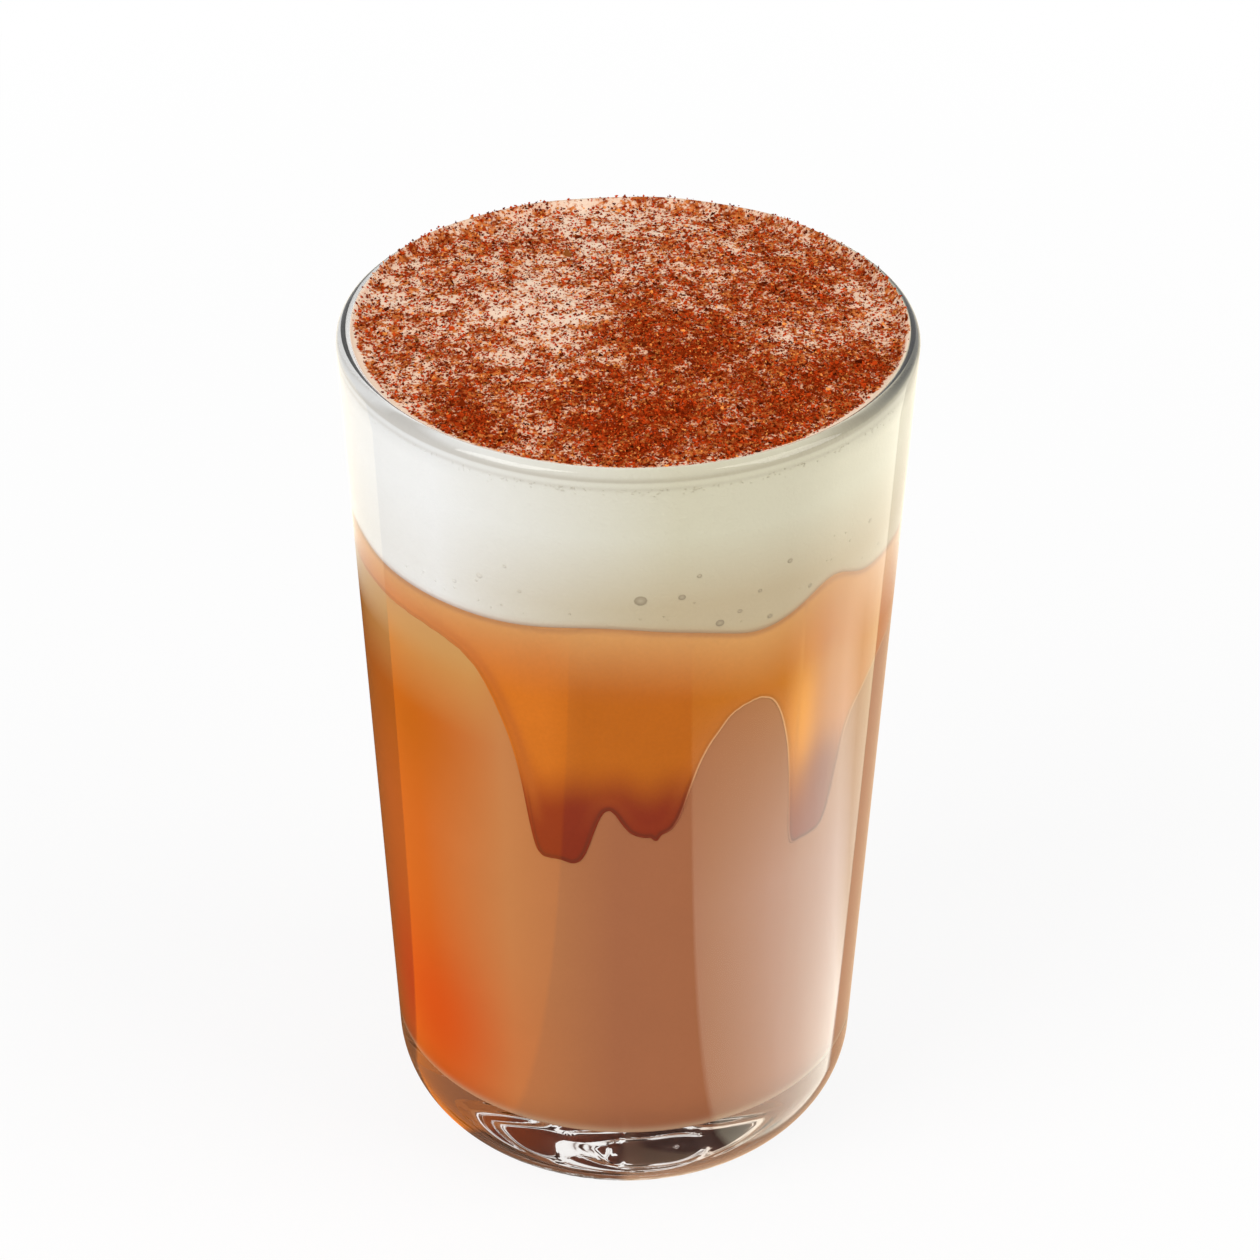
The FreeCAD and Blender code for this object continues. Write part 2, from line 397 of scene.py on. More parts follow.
def round_hump(angle, centre, width, squareness=2):
    """The same round the axis, in degrees."""
    return hump(angle_between(angle, centre), 0, width, squareness)


def bell(away, squareness):
    return 1 / (1 + away ** squareness)


def unrolled_radius():
    """Radius at which the wall is measured where it is unrolled."""
    return inner_radius(UNROLLED_AT)


def on_wall(angles):
    """Points round the inner wall, for noise that follows it."""
    turn = np.radians(angles)
    return np.stack([np.sin(turn), np.cos(turn), 0 * turn], axis=1) * unrolled_radius()


def foam_underside(angle):
    """Height of the foam's wavy underside on the wall."""
    height = HEIGHT - shape().foam_depth + 0 * angle
    for centre, rise, half_width in UNDERSIDE_WAVES:
        height = height + rise * round_hump(angle, centre, half_width)
    return height


def caramel_line():
    """Height of the caramel's lower edge between two tongues."""
    return HEIGHT - shape().foam_depth - shape().caramel_band


def caramel_edge(angle):
    """Height of the caramel's lower edge on the wall."""
    squares = 0 * angle
    for centre, reach, before, after, squareness in TONGUES:
        away = angle_between(angle, centre)
        away = np.abs(away) / np.where(away < 0, before, after)
        tip = (1 - ROOT_SHARE) * bell(away, squareness)
        root = ROOT_SHARE * bell(away / ROOT_WIDTH, ROOT_SQUARENESS)
        squares = squares + (reach * (tip + root)) ** 2
    return caramel_line() - np.sqrt(squares)


def foam_surface(x, y):
    """Height of the foam's top, with its lumps but not its grain."""
    edge = HEIGHT - shape().foam_edge
    radius = inner_radius(edge)
    share = np.minimum(np.hypot(x, y) / radius, 1.0)
    height = edge + shape().foam_crown * (1 - share ** 2)
    for angle, distance, rise in FOAM_LUMPS:
        turn = math.radians(angle)
        reach = distance * radius
        away = np.hypot(x - reach * math.sin(turn), y + reach * math.cos(turn)) / LUMP_SPREAD
        height = height + rise * np.exp(-away ** 2) * (1 - share ** 4)
    return height


def lip_height(radius):
    """Height of the rounded lip at a distance from the axis."""
    lip = shape().wall / 2
    middle = outer_radius(HEIGHT - lip) - lip
    return HEIGHT - lip + np.sqrt(np.maximum(lip ** 2 - (radius - middle) ** 2, 0))


def behind(angle):
    """From 0 at the front to 1 at the back of the rim."""
    return ramp(np.abs(angle_between(angle, RIM_FRONT)), *RIM_BACK)


def foam_reach(angle):
    """How far the foam clings outwards over the lip."""
    turn = np.radians(angle)
    ripple = 0.10 * np.sin(turn * 5 + 1) + 0.06 * np.sin(turn * 13)
    return CLING_FRONT + (CLING_BACK + ripple) * behind(angle)


def foam_top(x, y):
    """Height of the foam's top, up to where it clings to the lip."""
    radius = np.hypot(x, y)
    edge = HEIGHT - shape().foam_edge
    wall = inner_radius(edge)
    over = np.maximum(radius - wall, 0)
    climb = shape().foam_cling * np.exp(-np.maximum(wall - radius, 0) / CLING_WIDTH)
    on_lip = np.maximum(edge + shape().foam_cling + over, lip_height(radius) + CLING_THICKNESS)
    return np.where(radius > wall, on_lip, foam_surface(x, y) + climb)


def cloud(points, size, seed=0.0):
    """Smooth noise of -1 to 1 at each point, with bumps of about the given size."""
    offset = Vector((seed * 17.3, seed * 5.1, seed * 11.7))
    return np.array([noise.noise(Vector(point) / size + offset) for point in points])


def spice_cover(x, y):
    """How much of the foam the spice hides, from 0 to 1."""
    cover = SPICE_COVER + 0 * x
    for centre_x, centre_y, spread, change in SPICE_DRIFTS:
        cover = cover + change * np.exp(-((x - centre_x) ** 2 + (y - centre_y) ** 2) / spread ** 2)
    points = np.stack([x, y, 0 * x], axis=1)
    cover = cover + SPICE_MOTTLE * cloud(points, 8.0, 1) + SPICE_MOTTLE * cloud(points, 3.0, 2)
    back = behind(angle_of(points))
    end = inner_radius(HEIGHT - shape().foam_edge) - 0.4 + 2.9 * back
    edge = np.clip((end - np.hypot(x, y)) / (0.7 + 0.9 * back), 0, 1)
    return np.clip(cover, SPICE_LEAST, 1) * edge


# ---- meshes ----------------------------------------------------------------------------

def new_object(data):
    """Puts a mesh, lamp or camera into the scene under its own name."""
    made = bpy.data.objects.new(data.name, data)
    bpy.context.collection.objects.link(made)
    return made


def new_piece(name, vertices, faces, material, node=None, smooth=True):
    """Makes a mesh in metres and, where a node is given, puts it in that node's place."""
    mesh = bpy.data.meshes.new(name)
    mesh.from_pydata((np.asarray(vertices) * MM).tolist(), [], faces)
    mesh.update()
    mesh.polygons.foreach_set("use_smooth", [smooth] * len(mesh.polygons))
    mesh.materials.append(material)
    piece = new_object(mesh)
    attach(piece, "root")
    if node:
        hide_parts(node)
    return piece


def store(piece, name, values):
    """Keeps one number or one colour for each vertex."""
    values = np.asarray(values, dtype=float)
    kind = "FLOAT" if values.ndim == 1 else "FLOAT_COLOR"
    layer = piece.data.attributes.new(name, kind, "POINT")
    if values.ndim == 1:
        layer.data.foreach_set("value", values)
    else:
        rgba = np.concatenate([values, np.ones((len(values), 1))], axis=1)
        layer.data.foreach_set("color", rgba.ravel())


def turn_angles(turns):
    return np.arange(turns) * 360.0 / turns


def rings(angles, radii, heights):
    """Vertices on rings round the axis: radii and heights have a row for each ring."""
    turn = np.radians(angles)
    radii, heights = np.broadcast_arrays(radii, heights)
    radii = np.broadcast_to(radii, (len(radii), len(angles)))
    heights = np.broadcast_to(heights, radii.shape)
    return np.stack([radii * np.sin(turn), -radii * np.cos(turn), heights], axis=2)


def steps_round(turns, inwards):
    """Each vertex of a ring and the one after it, or the other way round for inward faces."""
    ring = np.arange(turns)
    after = np.roll(ring, -1)
    return (after, ring) if inwards else (ring, after)


def band(low, high, turns, inwards=False):
    """Faces between two rings whose first vertices are given."""
    ring, after = steps_round(turns, inwards)
    return np.stack([low + ring, low + after, high + after, high + ring], axis=1).tolist()


def fan(first, middle, turns, inwards=False):
    """Faces from a ring to one vertex in its middle."""
    ring, after = steps_round(turns, inwards)
    return np.stack([first + ring, first + after, np.full(turns, middle)], axis=1).tolist()


def closed_rings(grid):
    """Vertices and faces of a closed skin over the rings, with a fan at each end."""
    ring_count, turns = grid.shape[:2]
    ends = [grid[0].mean(axis=0), grid[-1].mean(axis=0)]
    vertices = np.concatenate([grid.reshape(-1, 3), ends])
    faces = []
    for row in range(ring_count - 1):
        faces += band(row * turns, (row + 1) * turns, turns)
    faces += fan(0, len(vertices) - 2, turns, inwards=True)
    faces += fan((ring_count - 1) * turns, len(vertices) - 1, turns)
    return vertices, faces


def arc(centre, radius, start, end, steps):
    """Points (radius from the axis, height) along an arc in a half-plane through the axis."""
    angles = np.radians(np.linspace(start, end, steps + 1))
    return [(centre[0] + radius * math.cos(a), centre[1] + radius * math.sin(a)) for a in angles]


def heel_arc(radius_at, floor, rounding, steps):
    """The rounding between a level floor and the tapered wall."""
    centre_z = floor + rounding
    centre_r = radius_at(centre_z) - rounding / math.cos(taper())
    return arc((centre_r, centre_z), rounding, -90, -math.degrees(taper()), steps)


def straight(start, end, steps):
    return [tuple(p) for p in np.linspace(start, end, steps + 1)[1:]]


def spun(profile, turns):
    """Rings that turn a profile of (radius, height) points round the axis."""
    profile = np.array(profile)
    return rings(turn_angles(turns), profile[:, :1], profile[:, 1:])


# ---- materials -------------------------------------------------------------------------

class Shader:
    """The node tree of a material or a world, built by short calls."""

    def __init__(self, name, owners="materials"):
        self.owner = getattr(bpy.data, owners).new(name)
        self.owner.use_nodes = True
        self.tree = self.owner.node_tree
        self.tree.nodes.clear()

    def add(self, kind, settings=None, **inputs):
        """A node; an input's spaces are written as underscores."""
        node = self.tree.nodes.new("ShaderNode" + kind)
        for name, value in (settings or {}).items():
            setattr(node, name, value)
        for name, value in inputs.items():
            self.put(value, node.inputs[name.replace("_", " ")])
        return node

    def put(self, value, socket):
        """Links a node or socket to an input, or sets the input to a number or colour."""
        if isinstance(value, bpy.types.Node):
            value = value.outputs[0]
        if isinstance(value, bpy.types.NodeSocket):
            self.tree.links.new(value, socket)
        elif socket.type == "RGBA":
            socket.default_value = (*value, 1.0)
        else:
            socket.default_value = value

    def attribute(self, name, output="Fac"):
        return self.add("Attribute", {"attribute_name": name}).outputs[output]

    def place(self):
        return self.add("TexCoord").outputs["Object"]

    def axis(self, name, place):
        return self.add("SeparateXYZ", Vector=place).outputs[name]

    def speckle(self, size, detail=2.0):
        """Noise of 0 to 1 with grains of about the given size in millimetres."""
        grains = 1 / (size * MM)
        return self.add("TexNoise", Vector=self.place(), Scale=grains, Detail=detail).outputs["Fac"]

    def stretch(self, value, low, high, start=0.0, end=1.0):
        """Maps low to start and high to end, and stays level beyond them."""
        reach = {"From_Min": low, "From_Max": high, "To_Min": start, "To_Max": end}
        return self.add("MapRange", {"clamp": True}, Value=value, **reach).outputs["Result"]

    def blend(self, share, first, second, way="MIX"):
        """Mixes two colours."""
        node = self.add("Mix", {"data_type": "RGBA", "blend_type": way})
        for index, value in ((0, share), (6, first), (7, second)):
            self.put(value, node.inputs[index])
        return node.outputs[2]

    def tinted(self, first, second):
        return self.blend(1.0, first, second, "MULTIPLY")

    def over(self, share, first, second):
        """Mixes two surfaces."""
        node = self.add("MixShader")
        for socket, value in zip(node.inputs, (share, first, second)):
            self.put(value, socket)
        return node

    def by_ray(self, surface, kind, looks):
        """Shows kinds of ray a light of their own: ray, colour, strength, share.

        Rays through glass count as glossy too, so theirs comes after the glossy ones.
        """
        path = self.add("LightPath").outputs
        for ray, light, glow, share in looks:
            seen = self.add(kind, Color=light, Strength=glow)
            surface = self.over(self.times(path[ray], share), surface, seen)
        return surface

    def tones(self, value, stops):
        """A colour for each value of 0 to 1; stops are pairs of position and colour."""
        node = self.add("ValToRGB", Fac=value)
        places = node.color_ramp.elements
        while len(places) < len(stops):
            places.new(0.5)
        for place, (position, shade) in zip(places, stops):
            place.position = position
            place.color = (*shade, 1.0)
        return node.outputs["Color"]

    def reckon(self, first, second, way="ADD"):
        node = self.add("Math", {"operation": way})
        for socket, value in zip(node.inputs, (first, second)):
            self.put(value, socket)
        return node.outputs[0]

    def times(self, first, second):
        return self.reckon(first, second, "MULTIPLY")

    def vector(self, way, first, second=None):
        """A sum on two vectors; its outputs are Vector and Value."""
        node = self.add("VectorMath", {"operation": way})
        self.put(first, node.inputs[0])
        if second is not None:
            self.put(second, node.inputs[1])
        return node

    def coat(self, tone, roughness, gloss=0.0, **more):
        """The material's surface, which lets no light through."""
        return self.finish(self.add(
            "BsdfPrincipled", Base_Color=tone, Roughness=roughness, Specular_IOR_Level=gloss, **more))

    def finish(self, surface, output="OutputMaterial"):
        self.add(output, Surface=surface)
        return self.owner


def clear_glass():
    """Glass with a painted dark reflection where the mesh says so, and lets soft light straight through."""
    shader = Shader("clear glass")
    tone = shader.blend(shader.attribute("dark_reflection"), (0.985, 0.985, 0.985), colours().lip_dark_reflection)
    glass = shader.add(
        "BsdfPrincipled", Base_Color=tone, Roughness=0.0, IOR=1.5, Transmission_Weight=1.0)
    lamp_light = shader.add("BsdfTransparent", Color=(0.97, 0.97, 0.97))
    path = shader.add("LightPath").outputs
    soft_light = shader.reckon(path["Is Shadow Ray"], path["Is Diffuse Ray"], "MAXIMUM")
    return shader.finish(shader.over(soft_light, glass, lamp_light))


def liquid(name, mottle, roughness):
    """Cloudy liquid against glass: its colour comes with the mesh and is lightly mottled."""
    shader = Shader(name)
    grain, broad = (
        shader.stretch(shader.speckle(size, 3.0), 0.3, 0.7, 1 - mottle, 1 + mottle)
        for size in (0.5, 9.0))
    tint = shader.attribute("tint", "Color")
    return shader.coat(shader.tinted(tint, shader.times(grain, broad)), roughness, 0.1)


def milk_foam():
    """Fine foam under a dust of spice, as thick as the mesh says."""
    shader, shades = Shader("milk foam"), colours()
    dust = shader.attribute("dust")
    fine = shader.stretch(shader.speckle(0.5, 3.0), 0.32, 0.68)
    patches = shader.stretch(shader.speckle(2.2, 4.0), 0.30, 0.70)
    lie = shader.reckon(shader.times(fine, 0.6), shader.times(patches, 0.7))
    cover = shader.stretch(shader.reckon(dust, lie), 1.04, 1.32)
    cover = shader.times(cover, shader.stretch(dust, 0.0, 0.1))
    deep = shader.stretch(dust, 0.45, 0.95, 0.3, -0.6)
    tone = shader.reckon(shader.stretch(shader.speckle(0.9, 4.0), 0.36, 0.64), deep)
    spice = shader.blend(shader.stretch(tone, 0.0, 1.0), shades.spice_deep, shades.spice_gold)
    stained = shader.stretch(dust, 0.30, 0.85, 0.0, 0.75)
    foam = shader.blend(stained, shader.attribute("tint", "Color"), shades.spice_milk)
    bump = shader.add("Bump", Distance=0.10 * MM, Height=shader.speckle(0.5, 3.0))
    return shader.coat(shader.blend(cover, foam, spice), 0.85, Normal=bump)


def ground_spice(name, shade):
    """Dry ground bark and seed: each grain has its own shade."""
    shader = Shader(name)
    dark = [channel * 0.35 for channel in shade]
    light = [min(1.0, channel * 1.9) for channel in shade]
    return shader.coat(shader.blend(shader.attribute("shade"), dark, light), 0.9)


def bubble_skin():
    shader = Shader("bubble")
    return shader.coat(shader.attribute("tint", "Color"), 0.5, 0.2)


# ---- operators: one for each piece or group of pieces ------------------------------------

class LATTE_OT_tumbler(bpy.types.Operator):
    """Blow the clear tumbler with its rounded lip, heavy base and punt"""

    bl_idname = "latte.tumbler"
    bl_label = "Tumbler"

    def execute(self, context):
        sizes = shape()
        lip = sizes.wall / 2
        lip_z = HEIGHT - lip
        heel = heel_arc(outer_radius, 0, sizes.heel, 40)
        inner_heel = heel_arc(inner_radius, BASE, sizes.inner_heel, 20)
        punt_radius = heel[0][0] - sizes.bearing
        dome = (punt_radius ** 2 + sizes.punt ** 2) / (2 * sizes.punt)
        half_turn = math.degrees(math.asin(punt_radius / dome))
        punt = arc((0, sizes.punt - dome), dome, 90, 90 - half_turn, 28)[1:]
        profile = punt + straight(punt[-1], heel[0], 4) + heel[1:]
        profile += straight(heel[-1], (outer_radius(lip_z), lip_z), 30)
        profile += arc((outer_radius(lip_z) - lip, lip_z), lip, 0, 180, 14)[1:]
        profile += straight(profile[-1], inner_heel[-1], 30)
        profile += inner_heel[-2::-1]
        profile += straight(inner_heel[0], (LAST_RING, BASE), 5)
        grid = spun(profile, amounts().turns)
        self.underside_relief(grid, heel[0][0])
        vertices, faces = closed_rings(grid)
        piece = new_piece("tumbler", vertices, faces, clear_glass(), "glass")
        store(piece, "dark_reflection", self.dark_reflection(vertices))
        return {"FINISHED"}

    def dark_reflection(self, points):
        """Painted dark reflection: darker glass on the outside of the lip and of the heel, strongest on the
        right.
        """
        angle, radius, z = angle_of(points), radius_of(points), points[:, 2]
        lip = hump(radius, MOUTH_RADIUS - 0.7, 0.8, 4) * ramp(z, HEIGHT - 2.6, HEIGHT - 2.0)
        lip = lip * (round_hump(angle, 80, 36, 4) + 0.4 * round_hump(angle, -70, 38, 4))
        outside = radius > inner_radius(z) + 0.5
        return lip + 0.55 * hump(z, 6, 6, 4) * round_hump(angle, 70, 32, 4) * outside

    def underside_relief(self, grid, foot):
        """Presses bars into the heel, and swells and dimples into the rest of the underside."""
        radii, angle = radius_of(grid), angle_of(grid)
        turn, below = np.radians(angle), grid[:, :, 2] < RELIEF_HEIGHT
        heel = hump(radii, foot + BARS_AT[0], BARS_AT[1], 4)
        ribbed = round_hump(2 * angle, 76, 66, 6)
        ribs = np.clip(np.cos(turn * RIBS + 0.8 * np.sin(turn * 9)), 0, 1) ** 0.7
        waves = np.clip(np.cos(turn * WAVES + 1.5), 0, 1)
        bars = (ribs * ribbed * 0.75 + waves * (1 - ribbed)) * heel
        flat, within = grid.reshape(-1, 3), foot - shape().bearing - 0.5
        swell = np.abs(cloud(flat, 5.5, 9)).reshape(radii.shape) * ramp(radii, within, within - 1.5)
        dimples = np.abs(cloud(flat, 1.0, 10)).reshape(radii.shape) * 0.4
        dimples = dimples * round_hump(2 * angle, -28, 26)
        depth = (BAR_DEPTH * bars + STIPPLE_DEPTH * (swell + dimples)) * below
        grid[:, :, 2] += depth
        grid[:, :, :2] *= (1 - 0.5 * depth * heel / np.maximum(radii, 1.0))[:, :, None]


class LATTE_OT_coffee(bpy.types.Operator):
    """Pour the milk coffee that fills the glass under the caramel"""

    bl_idname = "latte.coffee"
    bl_label = "Coffee"

    def execute(self, context):
        bite = shape().bite
        top, floor = caramel_line() + 1.0, BASE - bite
        heel = heel_arc(lambda z: inner_radius(z) + bite, floor, shape().inner_heel, 20)
        profile = [(LAST_RING, floor)] + straight((LAST_RING, floor), heel[0], 8) + heel[1:]
        profile += straight(heel[-1], (inner_radius(top) + bite, top), 90)
        profile += straight(profile[-1], (LAST_RING, top), 6)
        vertices, faces = closed_rings(spun(profile, amounts().turns))
        skin = liquid("milk coffee", 0.012, 0.5)
        piece = new_piece("coffee", vertices, faces, skin, "latte")
        store(piece, "tint", self.tints(vertices))
        return {"FINISHED"}

    def tints(self, points):
        """Amber light comes through from the left and glows deepest low down."""
        shades = colours()
        angle, z, floor = angle_of(points), points[:, 2], inner_radius(BASE)
        far_left = ramp(angle, -28, -54) * ramp(angle, -170, -130)
        under = ramp(radius_of(points), floor - 4.5, floor - 7.5) * (z < BASE + 3)
        side = layered(shades.coffee, (
            (ramp(angle, -2, -28) * ramp(angle, -180, -150), shades.coffee_pale),
            (far_left, shades.coffee_amber),
            (far_left * ramp(z, 62, 78), shades.coffee_gold),
            (hump(z, 28, 15) * hump(angle, -60, 26), shades.coffee_ember),
            (ramp(z, 82, 95) * ramp(angle, -24, -34), shades.coffee_haze),
            (0.8 * hump(z, BASE + 1.6, 1.2) * (1 - under), shades.coffee_foot),
        ))
        below = layered(shades.coffee_shade, ((ramp(points[:, 0], 4, -20), shades.coffee_under),))
        return layered(side, ((under, below),))


def layered(base, layers):
    """Lays colours over one another, each by its share at every point."""
    tint = np.array(tuple(base))
    for share, shade in layers:
        share = np.asarray(share)[..., None]
        tint = tint * (1 - share) + np.array(tuple(shade)) * share
    return tint


class LATTE_OT_caramel(bpy.types.Operator):
    """Let the pumpkin caramel run down the inside of the wall"""

    bl_idname = "latte.caramel"
    bl_label = "Caramel"

    def execute(self, context):
        angles = turn_angles(CARAMEL_TURNS)
        seam, edge = foam_underside(angles), self.ragged_edge(angles)
        top = seam + CARAMEL_OVERLAP
        slope = np.gradient(edge, np.radians(angles) * unrolled_radius())
        lean = np.sqrt(1 + slope ** 2)
        reach = np.concatenate([np.arange(0, 1.6, 0.16), np.linspace(1.8, 4.2, 9)])[:, None]
        near = np.minimum(edge + (reach - CARAMEL_LIP) * lean, top - 2.0 + 0.02 * reach)
        share = np.linspace(0, 1, 42)[1:, None]
        far = near[-1] + (top - near[-1]) * share
        height = np.concatenate([near, far])
        distance = self.distance_to_edge(angles, height, edge)
        outside = inner_radius(height) + shape().bite * CARAMEL_BITE
        swell = np.clip((distance + CARAMEL_LIP) / 2.0, 0, 1)
        inside = outside - 0.03 - shape().caramel_depth * np.sqrt(swell * (2 - swell))
        radii = np.concatenate([outside, inside[::-3]])
        vertices, faces = self.sleeve(rings(angles, radii, np.concatenate([height, height[::-3]])))
        skin = liquid("pumpkin caramel", 0.03, 0.35)
        piece = new_piece("caramel_tongues", vertices, faces, skin, "caramel")
        tints = self.tints(angles, height, distance, seam - height)
        store(piece, "tint", np.concatenate([tints, tints[::-3]]).reshape(-1, 3))
        return {"FINISHED"}

    def ragged_edge(self, angles):
        """The tongues' outline, with the small unevenness of a running edge."""
        points, (centre, half_width, drop) = on_wall(angles), LOWEST_CURL
        edge = caramel_edge(angles) + 0.25 * cloud(points, 2.2, 5) + 0.12 * cloud(points, 0.8, 6)
        return edge - drop * round_hump(angles, centre, half_width)

    def distance_to_edge(self, angles, height, edge):
        """How far each point lies above the outline, measured on the unrolled wall."""
        unrolled = np.radians(angles) * unrolled_radius()
        tree = kdtree.KDTree(3 * len(angles))
        for lap in (-1, 0, 1):
            for index, (along, z) in enumerate(zip(unrolled, edge)):
                tree.insert((along + lap * 2 * math.pi * unrolled_radius(), z, 0.0), index)
        tree.balance()
        found = np.empty(height.shape)
        for (row, column), z in np.ndenumerate(height):
            found[row, column] = tree.find((unrolled[column], z, 0.0))[2]
        return np.where(height < edge - 1e-6, -found, found)

    def sleeve(self, grid):
        """Closes the rings on themselves, as the wall of a sleeve without ends."""
        ring_count, turns = grid.shape[:2]
        faces = []
        for row in range(ring_count):
            faces += band(row * turns, (row + 1) % ring_count * turns, turns, inwards=True)
        return grid.reshape(-1, 3), faces

    def tints(self, angles, height, distance, fall):
        """Pale under the foam, dark at the tips and along the edge, and ropy on the left."""
        shades = colours()
        angle = np.broadcast_to(angle_between(angles, 0.0), height.shape)
        under_foam = ramp(fall, 11, 0) ** 1.3
        tip_line = 83.0 + 1.6 * cloud(on_wall(angles), 5.0, 7)
        tip = ramp(height, tip_line, tip_line - 9.5)
        tip = tip * tip * (3 - 2 * tip)
        rope = hump(distance, 1.1, 0.9) * ramp(height, 70, 78)
        rope = rope * np.where(angle < -14, np.maximum(ramp(angle, -58, -24), 0.12), 0.3)
        line = hump(distance, 0.18, 0.27) * (0.3 + 0.7 * tip)
        halo = ramp(distance, 0.05, -0.05) * ramp(angle, 8, 14) * (1 - 0.6 * tip)
        return layered(shades.caramel, (
            (under_foam, shades.caramel_top),
            (0.7 * ramp(angle, -9, -17) * (1 - under_foam), shades.caramel_lit),
            (tip, shades.caramel_tip),
            (0.8 * rope, shades.caramel_rope),
            (0.8 * hump(angle, 41.5, 4.2) * hump(height, 84, 10), shades.caramel_glow),
            (0.8 * hump(fall, 0.3, 0.5), shades.caramel_seam),
            (0.85 * line, shades.caramel_edge),
            (0.6 * halo, shades.caramel_halo),
        ))


def foam_grain(points, radius):
    """The foam's own unevenness, calm beside the wall."""
    grain = sum(rise * cloud(points, size, seed) for rise, size, seed in FOAM_GRAIN)
    return grain * ramp(radius_of(points), radius - 0.4, radius - 2.4)


def foam_tints(points, on_top):
    """Foam is white on the left and warmer and darker with painted shade from the front round to the right;
    it is darker beside the caramel, and painted dark lines run just under the lip.
    """
    shades = colours()
    angle, z = angle_of(points), points[:, 2]
    # warm is the share of painted shade: none on the left, full from the front round to the right.
    warm = ramp(angle, -42, 10) * ramp(angle, 180, 120)
    # Painted shade: two dark lines just under the lip, in the bubbles' shade colour.
    lip_shade_lines = 0.45 * hump(z, HEIGHT - 2.1, 0.22) + 0.2 * hump(z, HEIGHT - 3.3, 0.3)
    return layered(shades.foam, (
        (warm, shades.foam_painted_shade),
        (ramp(z, 119, 108) * (0.15 + 0.85 * warm), shades.foam_low),
        (0.5 * hump(z, foam_underside(angle), 0.55) * (1 - on_top), shades.caramel_seam),
        (lip_shade_lines, shades.bubble),
        (on_top, shades.foam_top),
    ))


class LATTE_OT_foam(bpy.types.Operator):
    """Spoon the milk foam on, up to the rim"""

    bl_idname = "latte.foam"
    bl_label = "Foam"

    def execute(self, context):
        angles = turn_angles(FOAM_TURNS)
        edge, neck_start = HEIGHT - shape().foam_edge, HEIGHT - 4.0
        bottom, radius = foam_underside(angles), inner_radius(edge)
        core = rings(angles, np.array([[6.0], [20.0]]), bottom.mean())
        side_height = bottom + (neck_start - bottom) * np.linspace(0, 1, 34)[:, None]
        neck = np.broadcast_to(np.linspace(neck_start, edge, 15)[1:, None], (14, FOAM_TURNS))
        side_height = np.concatenate([side_height, neck])
        side = rings(angles, inner_radius(side_height) + shape().bite * FOAM_BITE, side_height)
        on_glass = radius + foam_reach(angles) * np.linspace(0, 1, 6)[1:, None]
        under = rings(angles, on_glass, lip_height(on_glass) - 0.06)
        inwards = radius * (1 - np.linspace(0, 1, 118)[:-1, None] ** 1.15)
        inwards = np.broadcast_to(inwards, (len(inwards), FOAM_TURNS))
        top = rings(angles, np.concatenate([on_glass[-2::-1], inwards]), edge)
        top[:, :, 2] = foam_top(top[:, :, 0], top[:, :, 1])
        top[:, :, 2] += foam_grain(top.reshape(-1, 3), radius).reshape(top.shape[:2])
        vertices, faces = closed_rings(np.concatenate([core, side, under, top]))
        piece = new_piece("foam_cap", vertices, faces, milk_foam(), "foam")
        on_top = np.zeros(len(vertices))
        on_top[(len(core) + len(side) + len(under)) * FOAM_TURNS:] = 1
        dust = np.where(on_top > 0, spice_cover(vertices[:, 0], vertices[:, 1]), 0)
        store(piece, "dust", dust)
        store(piece, "tint", foam_tints(vertices, on_top))
        return {"FINISHED"}


class LATTE_OT_bubbles(bpy.types.Operator):
    """Set the bubbles that show through the wall, low in the foam and tiny ones under the lip"""

    bl_idname = "latte.bubbles"
    bl_label = "Bubbles"

    def execute(self, context):
        draw = np.random.default_rng(amounts().seed)
        bubbles = list(LARGE_BUBBLES)
        for _ in range(WALL_BUBBLES):
            angle = draw.uniform(-180, 180)
            height = float(foam_underside(np.array(angle))) + 0.9 + draw.gamma(1.5, 1.6)
            bubbles.append((angle, min(height, HEIGHT - 10), draw.uniform(0.07, 0.2)))
        for _ in range(LIP_BUBBLES):
            height = HEIGHT - 3.3 - abs(draw.normal(0, 0.5))
            bubbles.append((draw.uniform(-180, 180), height, draw.uniform(0.05, 0.13)))
        vertices, faces, hollow = [], [], []
        for bubble in bubbles:
            self.add_bubble(vertices, faces, hollow, *bubble)
        piece = new_piece("foam_bubbles", vertices, faces, bubble_skin())
        vertices = np.array(vertices)
        foam = foam_tints(vertices, np.zeros(len(vertices)))
        store(piece, "tint", layered(foam, ((hollow, colours().bubble),)))
        return {"FINISHED"}

    def add_bubble(self, vertices, faces, hollow, angle, height, radius):
        """A shallow dome on the wall, darker at its rim than in its middle."""
        first, turn = len(vertices), math.radians(angle)
        # The painted shade in a bubble is faint on the left, where the foam is white, and full on the
        # shaded right.
        strength = max(float(ramp(angle, -46, 10)), 0.12) * min(1.0, 0.35 + radius)
        wall = inner_radius(height) + shape().bite * FOAM_BITE
        out = np.array([math.sin(turn), -math.cos(turn), 0.0])
        along = np.array([math.cos(turn), math.sin(turn), 0.0])
        for share, rise, shade in BUBBLE_RINGS:
            for way in np.radians(turn_angles(BUBBLE_SIDES)):
                point = out * (wall + rise) + along * math.cos(way) * radius * share * 1.15
                point[2] = height + math.sin(way) * radius * share
                vertices.append(tuple(point))
                hollow.append(shade * strength)
        vertices.append((*(out * (wall + 0.13))[:2], height))
        hollow.append(0.45 * strength)
        last = first + (len(BUBBLE_RINGS) - 1) * BUBBLE_SIDES
        for low in range(first, last, BUBBLE_SIDES):
            faces += band(low, low + BUBBLE_SIDES, BUBBLE_SIDES)
        faces += fan(last, len(vertices) - 1, BUBBLE_SIDES)


